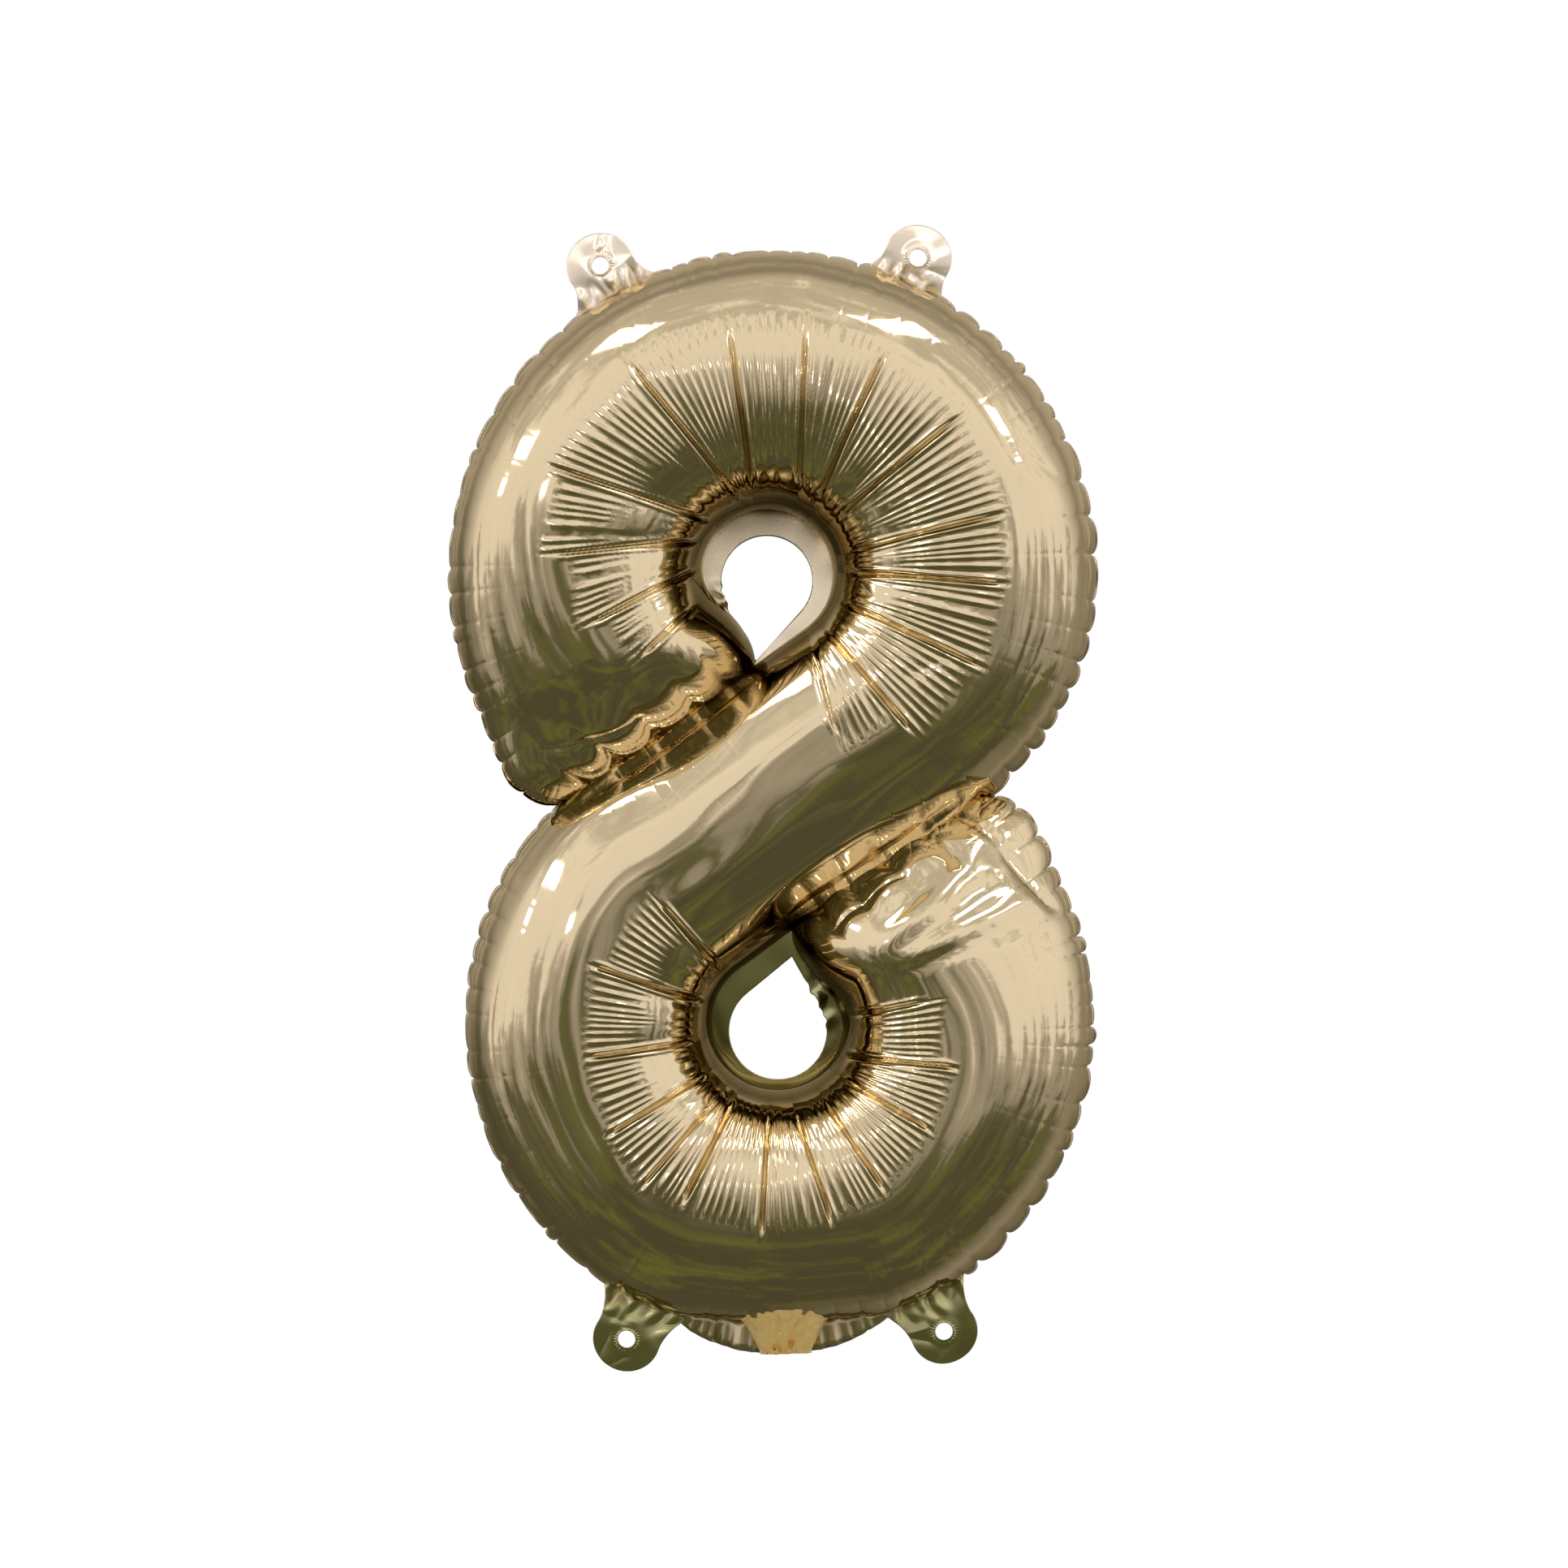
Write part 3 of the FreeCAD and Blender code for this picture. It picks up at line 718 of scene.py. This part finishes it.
class BALLOON_OT_seals(bpy.types.Operator):
    """Builds the outer heat seal, the hole seals and the lobe welds."""

    bl_idname = "balloon.seals"
    bl_label = "Heat seals"

    def execute(self, context):
        colour, painted_fold_colour, gloss, thickness = foil_of(context)
        material = foil_material("sealed_foil", colour, painted_fold_colour, gloss + 0.06, knurl=0.16)
        self.outer_seal(material, thickness)
        # The two hole seals are one film: the upper one is painted paler as painted light, the lower one dark
        # olive as painted shade.
        pale = tuple(0.6 * c + 0.4 * w for c, w in zip(colour, (0.90, 0.86, 0.78)))
        ring = {"upper": foil_material("upper_ring_painted_light_foil", pale, painted_fold_colour, gloss + 0.10, knurl=0.16),
                "lower": foil_material("lower_ring_painted_shade_foil", (0.60, 0.58, 0.33), painted_fold_colour,
                                       gloss + 0.05, knurl=0.12)}
        for which in ("upper", "lower"):
            self.hole_seal(which, ring[which], thickness)
            self.lobe_weld(which, material, thickness)
        return {"FINISHED"}

    def outer_seal(self, material, thickness):
        """Narrow crimped seal round both loops, widening at the filling neck."""
        size = bpy.context.scene.balloon_skin
        places = film_surface(size.along, size.around, -1, 100)[0]
        keep = size.along // 2
        strips = []
        for which in ("upper", "lower"):
            edge = places[:, -1] if which == "upper" else places[::-1, 0]
            points = edge[:keep]
            middle = np.array([0, 0, LOOP_HEIGHT if which == "upper" else -LOOP_HEIGHT])
            out = points - middle
            out[:, 1] = 0
            out /= np.linalg.norm(out, axis=1, keepdims=True)
            angle = np.degrees(np.arctan2(out[:, 2], out[:, 0]))
            width = np.full(keep, 0.5 * MM)
            back = np.full(keep, 2.2 * MM)
            if which == "lower":
                near_neck = np.exp(-(np.abs(angle + 91) / 19.5) ** 6)
                wave = 0.6 + 0.4 * np.cos(np.radians((angle + 91) * 8))
                rim = (TUBE_RADIUS["lower"] + (3.2 + 2.2 * wave) * MM
                       - np.linalg.norm(points - middle, axis=1))
                width = width + near_neck * np.maximum(rim, 2 * MM)
                back = back * (1 - near_neck)
            ripple = soft_noise(41, np.arange(keep) / 14.0) * 0.5 * MM
            if which == "lower":
                facets = np.abs(soft_noise(42, angle / 6.0)) * 3.4 * MM
                ripple = ripple + near_neck * (facets - ripple * 0.4)
            rows = np.linspace(0, 1, 5)
            grid = points[:, None, :] + out[:, None, :] * (width[:, None] * rows)[..., None]
            grid[..., 1] += ripple[:, None] * rows + back[:, None] * rows ** 1.5
            obj = grid_mesh("outer_seal_" + which, grid)
            strips.append(obj)
        joined = join_objects("outer_seal", strips)
        face_outwards(joined, Vector((0, -1, 0)))
        finish_sheet(joined, material, 2 * thickness, "perimeter_seal")

    def hole_seal(self, which, material, thickness):
        """Flat seal round one hole, crumpled beside the lobe's end."""
        count = 360
        angle = np.linspace(TIP_ANGLE, TIP_ANGLE + 360, count + 1)

        def edge(radius, tip):
            spread = math.degrees(math.acos(radius / tip))
            off = 180 - np.abs((angle - TIP_ANGLE) % 360 - 180)
            return radius / np.cos(np.radians(np.clip(spread - off, 0, spread)))

        hole_radius, hole_tip, shift = HOLES[which]
        inner = edge(hole_radius, hole_tip)
        outer = edge(RING_RADIUS + 1.2 * MM, RING_TIP + 2 * MM)
        rows = np.linspace(0, 1, 15)
        reach = inner[:, None] + (outer - inner)[:, None] * rows
        plan = polar(angle[:, None] * np.ones_like(reach), reach)
        crush = np.exp(-(((angle - TIP_ANGLE) % 360 - 318) / 26) ** 2)
        rough = soft_noise(51, plan[..., 0] / 0.009, plan[..., 1] / 0.009)
        fine = soft_noise(52, plan[..., 0] / 0.0045, plan[..., 1] / 0.0045)
        lift = crush[:, None] * (rough * 1.4 + fine * 0.1) * MM * (1 - rows * 0.4)
        lift = lift + soft_noise(53, plan[..., 0] / 0.02, plan[..., 1] / 0.02) * 0.25 * MM
        lift = lift + 0.2 * plan[..., 1]
        nibble = crush[:, None] * (1 - rows) * soft_noise(54, angle / 17)[:, None] * 1.0 * MM
        plan = plan + polar(angle[:, None], nibble)
        plan[..., 1] += shift * (1 - rows)
        lift[-1] = lift[0]
        self.flat_sheet(which, "_hole_film", plan, lift, material, thickness, "_hole_seal", True)

    def lobe_weld(self, which, material, thickness):
        """Straight strip of welded film between a lobe's end and the band."""
        span = np.linspace(*WELD_SPAN, 61)
        rows = np.linspace(-4.0 * MM, 2.0 * MM, 7)
        plan = (BAND_NORMAL * RING_RADIUS)[None, None, :] - BAND_DIR * span[:, None, None]
        plan = plan + BAND_NORMAL * rows[None, :, None]
        wave = soft_noise(61, span / 0.012)[:, None] * 0.3 * MM * np.ones(len(rows))
        self.flat_sheet(which, "_weld_film", plan, wave, material, thickness, "_lobe_weld")

    def flat_sheet(self, which, name, plan, lift, material, thickness, node, wrap=False):
        """A double ply drawn round the upper loop's middle, put in its place on either loop."""
        places = np.stack([plan[..., 0], lift, plan[..., 1] + LOOP_HEIGHT], -1)
        if which == "lower":
            places = places * np.array([-1, 1, -1])
        obj = grid_mesh(which + name, places, wrap=wrap)
        face_outwards(obj, Vector((0, -1, 0)))
        finish_sheet(obj, material, 2 * thickness, which + node)


def join_objects(name, objects):
    """One object from several meshes."""
    bm = bmesh.new()
    for obj in objects:
        bm.from_mesh(obj.data)
    mesh = bpy.data.meshes.new(name)
    bm.to_mesh(mesh)
    bm.free()
    for obj in objects:
        old = obj.data
        bpy.data.objects.remove(obj)
        bpy.data.meshes.remove(old)
    joined = bpy.data.objects.new(name, mesh)
    bpy.context.scene.collection.objects.link(joined)
    return joined


def finish_sheet(obj, material, thickness, node, offset=0.0):
    """Material, thickness and place in the frame for a sealed sheet of the balloon."""
    obj.data.materials.append(material)
    film_thickness(obj, thickness, offset)
    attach(obj, BALLOON)
    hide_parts(node)


def tab_outline(t, root_drop):
    """Outline of a tab round its punched hole for t from 0 to 1: across and outward distances.

    It starts and ends at the middle of the root and passes over the head."""
    head_end = math.radians(100)
    way = np.abs(2 * t - 1)
    side = np.sign(2 * t - 1 + 1e-12)
    head_angle = np.clip(way / 0.5, 0, 1) * head_end
    flare = np.clip((way - 0.5) / 0.3, 0, 1)
    base = np.clip((way - 0.8) / 0.2, 0, 1)
    x = TAB_HEAD * np.sin(head_angle) + (TAB_ROOT - TAB_HEAD) * flare ** 2.2
    y = TAB_HEAD * np.cos(head_angle) - (root_drop + TAB_HEAD * math.cos(head_end)) * flare
    return x * (1 - base) * side, y


class BALLOON_OT_tabs(bpy.types.Operator):
    """Builds the four hanging tabs."""

    bl_idname = "balloon.tabs"
    bl_label = "Hanging tabs"

    def execute(self, context):
        colour, painted_fold_colour, gloss, thickness = foil_of(context)
        # The four tabs are one film: the upper pair is painted near white as painted light, the lower pair dark
        # olive as a painted reflection of the dark room below.
        pale = tuple(0.35 * c + 0.65 * w for c, w in zip(colour, (1.0, 0.92, 0.87)))
        upper = foil_material("upper_tab_painted_light_foil", pale, painted_fold_colour, gloss + 0.08, knurl=0.3)
        lower = foil_material("lower_tab_painted_shade_foil", (0.66, 0.64, 0.36), painted_fold_colour, gloss + 0.08, knurl=0.3)
        mounts = {m["name"]: m for m in frame["record"]["mounts"]}
        joints = {j["name"]: j for j in frame["joints"]}
        for number, corner in enumerate(("top_left", "top_right", "bottom_left", "bottom_right")):
            eye = np.array(mounts["tab_hole_" + corner]["pos_m"])
            foot = np.array(joints["tab_" + corner + "_bend"]["pos_m"])
            bore = mounts["tab_hole_" + corner]["dims"]["r_mm"] * MM
            material = upper if corner.startswith("top") else lower
            self.tab(corner, eye, foot, bore, material, thickness, 300 + number * 7)
        return {"FINISHED"}

    def tab(self, corner, eye, foot, bore, material, thickness, seed):
        """One paddle of fused film, crumpled where it leaves the gathered seam."""
        outward = eye - foot
        shoulder = np.linalg.norm(outward)
        outward /= shoulder
        across = np.array([outward[2], 0, -outward[0]])
        count, rings = 144, 26
        t = np.linspace(0, 1, count + 1)
        x_out, y_out = tab_outline(t, shoulder + 3.5 * MM)
        bearing = np.arctan2(x_out, y_out)
        bearing[0], bearing[-1] = -math.pi, math.pi
        x_in, y_in = bore * np.sin(bearing), bore * np.cos(bearing)
        rows = np.linspace(0, 1, rings + 1) ** 1.15
        x = x_in[:, None] + (x_out - x_in)[:, None] * rows
        y = y_in[:, None] + (y_out - y_in)[:, None] * rows
        from_hole = np.hypot(x, y) - bore
        up = np.maximum(y + shoulder, 0)
        slow = soft_noise(seed, x / 0.022, y / 0.022) * 0.5 * MM
        near_root = smooth(-y, shoulder * 0.2, shoulder + 1 * MM)
        ridge = (0.5 - np.abs(soft_noise(seed + 1, x / 0.009, y / 0.016))) * 1.5 * MM * near_root
        drift = soft_noise(seed + 4, x / 0.014, y / 0.02)
        pucker = np.cos(x / (7.5 * MM) * 2 * math.pi + seed + 2.6 * drift) * 0.75 * MM * near_root
        calm = smooth(from_hole, 0.6 * MM, 3.5 * MM)
        punch = np.exp(-from_hole / (0.5 * MM)) * -0.4 * MM
        teeth = np.exp(-((from_hole - 0.7 * MM) / (0.45 * MM)) ** 2)
        punch = punch + teeth * (0.16 + 0.20 * np.cos(26 * bearing)[:, None]) * MM
        rng = np.random.default_rng(seed + 2)
        for _ in range(4):
            way = rng.uniform(0, math.pi)
            offset = rng.uniform(-6, 6) * MM
            off = x * math.cos(way) + y * math.sin(way) - offset
            side = smooth(x * math.sin(way) - y * math.cos(way), -3 * MM, 3 * MM)
            slow = slow + np.exp(-np.abs(off) / (1.3 * MM)) * side * rng.uniform(-0.8, 0.8) * MM
        lift = (slow + ridge) * calm + pucker + punch + 16.0 * up ** 2
        lift[-1] = lift[0]
        places = eye + across * x[..., None] + outward * y[..., None]
        places[..., 1] += lift
        obj = grid_mesh("tab_" + corner + "_film", places, wrap=True)
        face_outwards(obj, Vector((0, -1, 0)))
        obj.data.materials.append(material)
        film_thickness(obj, 2 * thickness, 0.0)
        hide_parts("hanging_tab_" + corner)
        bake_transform(obj)


class BALLOON_OT_neck(bpy.types.Operator):
    """Builds the gathered filling neck and finishes the valve."""

    bl_idname = "balloon.neck"
    bl_label = "Filling neck"

    def execute(self, context):
        _, painted_fold_colour, gloss, thickness = foil_of(context)
        # The neck's film is painted brighter and warmer than the rest and made partly matte, as painted light
        # standing in for the glints of its crinkles.
        material = foil_material("neck_painted_light_foil", (1.0, 0.74, 0.30), painted_fold_colour, gloss + 0.18,
                                 crumple=1.6, metallic=0.4)
        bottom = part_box("fill_neck_front")[0][2]
        top = -LOOP_HEIGHT - 85.5 * MM
        count, rows = 150, 70
        s = np.linspace(-1, 1, count + 1)[:, None]
        t = np.linspace(0, 1, rows + 1)[None, :]
        for name, side, node in (("neck_front_film", -1, "fill_neck_front"),
                                 ("neck_back_film", 1, "fill_neck_back")):
            half = (7.2 + 7.0 * (1 - t) ** 0.9) * MM
            x = s * half
            z = top + (bottom - top) * t - s ** 2 * 3.2 * MM * (1 - t)
            middle = (RING_RADIUS + TUBE_RADIUS["lower"] - NECK_FLAT) / 2
            place = np.abs(z + LOOP_HEIGHT + middle) / (middle - RING_RADIUS)
            skin = (1 - np.clip(place, 0, 1) ** SECTION_POWER) ** SECTION_ROUND * HALF_DEPTH
            drape = skin + (1.5 - 2.8 * np.abs(s) ** 4 - 2.4 * (1 - t) ** 8) * MM
            tube = (17.0 * (1 - t) ** 1.2 + 1.2) * MM * np.clip(1 - s ** 4, 0, 1) ** 0.5
            deep = np.maximum(np.maximum(drape, tube), 0)
            pinch = 0.5 - np.abs(soft_noise(71 + side, s * 2.2 + 0 * x, t * 0.9 + 0 * x))
            small = 0.4 - np.abs(soft_noise(73 + side, x / 0.0050, z / 0.0080))
            inside = np.clip(1 - s ** 4, 0, 1) * (1 - (1 - t) ** 6)
            y = side * (deep + inside * (pinch * 1.6 + small * 1.5) * MM + 0.25 * MM)
            obj = grid_mesh(name, np.stack([x, y, z], -1))
            face_outwards(obj, Vector((0, side, 0)))
            finish_sheet(obj, material, thickness, node, -1.0)
        milky = valve_material(tuple(context.scene.balloon_skin.valve_colour))
        for node in ("valve_front_film", "valve_back_film"):
            frame["nodes"][node].material_slots[0].material = milky
        return {"FINISHED"}


# ---- Stage ----

def studio_world():
    """Plain pale surroundings to look at, and a soft room for the foil to reflect."""
    world = bpy.data.worlds.new("studio")
    bpy.context.scene.world = world
    t = Tree(world)
    out = t.add("ShaderNodeOutputWorld")
    spot = t.add("ShaderNodeTexCoord").outputs["Generated"]
    x, y, z = t.parts(spot)
    ramp = t.add("ShaderNodeValToRGB")
    # Colours of the room from straight below, at 0, to straight above, at 1.
    stops = ((0.0, (0.085, 0.080, 0.050)), (0.33, (0.095, 0.092, 0.053)),
             (0.43, (0.14, 0.137, 0.085)), (0.485, (0.33, 0.31, 0.265)), (0.55, (0.42, 0.39, 0.345)),
             (0.60, (0.54, 0.505, 0.465)), (0.65, (0.92, 0.87, 0.83)), (0.86, (0.98, 0.93, 0.885)),
             (0.93, (0.68, 0.64, 0.58)), (1.0, (0.62, 0.58, 0.52)))
    ramp.color_ramp.elements.remove(ramp.color_ramp.elements[0])
    ramp.color_ramp.elements[0].position = stops[0][0]
    ramp.color_ramp.elements[0].color = (*stops[0][1], 1)
    for position, shade in stops[1:]:
        ramp.color_ramp.elements.new(position).color = (*shade, 1)
    stretch = t.add("ShaderNodeMapping", vector_type="POINT")
    stretch.inputs["Scale"].default_value = (9.0, 9.0, 1.3)
    t.join(spot, stretch.inputs["Vector"])
    uneven = t.over(t.noise(spot, 4.5, 5.0, 0.65), 0.5, 0.42)
    stripes = t.over(t.noise(stretch.outputs[0], 1.0, 2.0), 0.5, 0.38)
    to_side = t.maths("MAXIMUM", t.maths("SUBTRACT", t.maths("ABSOLUTE", x), 0.25), 0.0)
    height = t.maths("ADD", t.maths("MULTIPLY", z, 0.5), 0.5)
    height = t.maths("ADD", height, t.maths("MULTIPLY", to_side, 0.19))
    height = t.maths("ADD", height, t.maths("ADD", uneven, stripes))
    t.join(t.maths("ADD", height, 0.0, clamp=True), ramp.inputs[0])

    # Greenish patches low down, a duller zone beside and behind, and a dark line between.
    green = t.over(t.noise(spot, 3.6, 4.0, 0.6), 0.47, 5.0, clamp=True)
    low = t.over(height, 0.48, -8.0, clamp=True)
    room = t.blend_colour(t.maths("MULTIPLY", green, low), ramp.outputs[0], (0.155, 0.165, 0.05))
    beside = t.over(y, 0.26, 2.8, clamp=True)
    behind = t.over(y, 0.60, 3.0, clamp=True)
    beside = t.maths("MULTIPLY", beside, t.maths("SUBTRACT", 1.0, t.maths("MULTIPLY", behind, 0.75)))
    corner = t.over(t.maths("ADD", x, z), -0.35, -1.8, clamp=True)
    room = t.blend_colour(beside, room,
                          t.blend_colour(corner, (0.35, 0.32, 0.27), (0.10, 0.095, 0.06)))
    edge = t.over(y, 0.34, 7.0)
    edge = t.maths("POWER", 2.718, t.maths("MULTIPLY", t.maths("MULTIPLY", edge, edge), -1.0))
    edge = t.maths("MULTIPLY", edge, t.maths("MAXIMUM", z, 0.0))
    room = t.blend_colour(t.maths("MULTIPLY", edge, 0.7), room, (0.20, 0.18, 0.14))
    seen = t.add("ShaderNodeLightPath").outputs["Is Camera Ray"]
    colour = t.blend_colour(seen, room, (1.0, 1.0, 1.0))
    light = t.add("ShaderNodeBackground", Strength=1.0)
    t.join(colour, light.inputs["Color"])
    t.join(light.outputs[0], out.inputs["Surface"])


# Soft boxes: name, direction from the balloon, width, height and brightness.
LAMPS = (("overhead_right", (0.433, -0.251, 0.864), 0.90, 0.30, 6),
         ("overhead_left", (-0.447, -0.274, 0.851), 0.80, 0.32, 6),
         ("window_left", (-0.812, -0.251, 0.521), 0.60, 0.26, 6),
         ("window_far_left", (-0.929, -0.122, 0.349), 0.18, 0.18, 8),
         ("lamp_front", (-0.509, -0.828, 0.23), 0.16, 0.14, 8),
         ("lamp_right", (0.735, -0.375, 0.564), 0.36, 0.18, 4))
LAMP_DISTANCE = 2.2


def soft_box(name, direction, width, height, brightness):
    """A soft box that faces the balloon from the given direction."""
    data = bpy.data.lights.new(name, "AREA")
    data.shape = "RECTANGLE"
    data.size = width
    data.size_y = height
    data.energy = brightness * width * height * math.pi
    data.color = (1.0, 0.96, 0.93)
    lamp = bpy.data.objects.new(name, data)
    lamp.location = Vector(direction).normalized() * LAMP_DISTANCE
    lamp.rotation_euler = (-lamp.location).to_track_quat("-Z", "Y").to_euler()
    bpy.context.scene.collection.objects.link(lamp)


class BALLOON_OT_stage(bpy.types.Operator):
    """Builds the floor, the lights and the camera."""

    bl_idname = "balloon.stage"
    bl_label = "Stage"

    def execute(self, context):
        settings = context.scene.balloon_stage
        low = Vector(CAD_BOX[0])
        middle = (low + Vector(CAD_BOX[1])) / 2
        studio_world()
        for lamp in LAMPS:
            soft_box(*lamp)

        bm = bmesh.new()
        bmesh.ops.create_circle(bm, cap_ends=True, segments=96, radius=1.1)
        bmesh.ops.translate(bm, verts=bm.verts, vec=(0, 0, low.z - settings.floor_drop))
        mesh = bpy.data.meshes.new("floor")
        bm.to_mesh(mesh)
        bm.free()
        floor = bpy.data.objects.new("floor", mesh)
        floor.visible_glossy = False
        material = bpy.data.materials.new("floor_paper")
        t = Tree(material)
        out = t.add("ShaderNodeOutputMaterial")
        paper = t.add("ShaderNodeBsdfPrincipled", Roughness=0.9)
        paper.inputs["Base Color"].default_value = (0.9, 0.9, 0.9, 1)
        t.join(paper.outputs[0], out.inputs["Surface"])
        mesh.materials.append(material)
        context.scene.collection.objects.link(floor)

        data = bpy.data.cameras.new("camera")
        data.sensor_width = 36.0
        data.lens = data.sensor_width * settings.distance / settings.view_width
        camera = bpy.data.objects.new("camera", data)
        camera.location = middle + Vector((3.75 * MM, -settings.distance, 4.4 * MM))
        camera.rotation_euler = (math.radians(90), settings.roll, 0)
        context.scene.collection.objects.link(camera)
        context.scene.camera = camera
        context.scene.view_settings.view_transform = "Standard"
        return {"FINISHED"}


class BALLOON_PT_panel(bpy.types.Panel):
    """Lists the balloon's pieces."""

    bl_label = "Foil balloon"
    bl_idname = "BALLOON_PT_panel"
    bl_space_type = "VIEW_3D"
    bl_region_type = "UI"
    bl_category = "Balloon"

    def draw(self, context):
        for settings in (context.scene.balloon_foil, context.scene.balloon_skin,
                         context.scene.balloon_stage):
            box = self.layout.box()
            for name in settings.__annotations__:
                box.prop(settings, name)
        for piece in PIECES:
            self.layout.operator(piece.bl_idname)


PIECES = (BALLOON_OT_skin, BALLOON_OT_seals, BALLOON_OT_tabs, BALLOON_OT_neck, BALLOON_OT_stage)
GROUPS = (FoilSettings, SkinSettings, StageSettings)


def register():
    for cls in (*GROUPS, *PIECES, BALLOON_PT_panel):
        bpy.utils.register_class(cls)
    bpy.types.Scene.balloon_foil = bpy.props.PointerProperty(type=FoilSettings)
    bpy.types.Scene.balloon_skin = bpy.props.PointerProperty(type=SkinSettings)
    bpy.types.Scene.balloon_stage = bpy.props.PointerProperty(type=StageSettings)


def unregister():
    del bpy.types.Scene.balloon_stage
    del bpy.types.Scene.balloon_skin
    del bpy.types.Scene.balloon_foil
    for cls in reversed((*GROUPS, *PIECES, BALLOON_PT_panel)):
        bpy.utils.unregister_class(cls)


def main():
    register()
    bpy.ops.balloon.skin()
    bpy.ops.balloon.seals()
    bpy.ops.balloon.tabs()
    bpy.ops.balloon.neck()
    bpy.ops.balloon.stage()


if __name__ == "__main__":
    main()
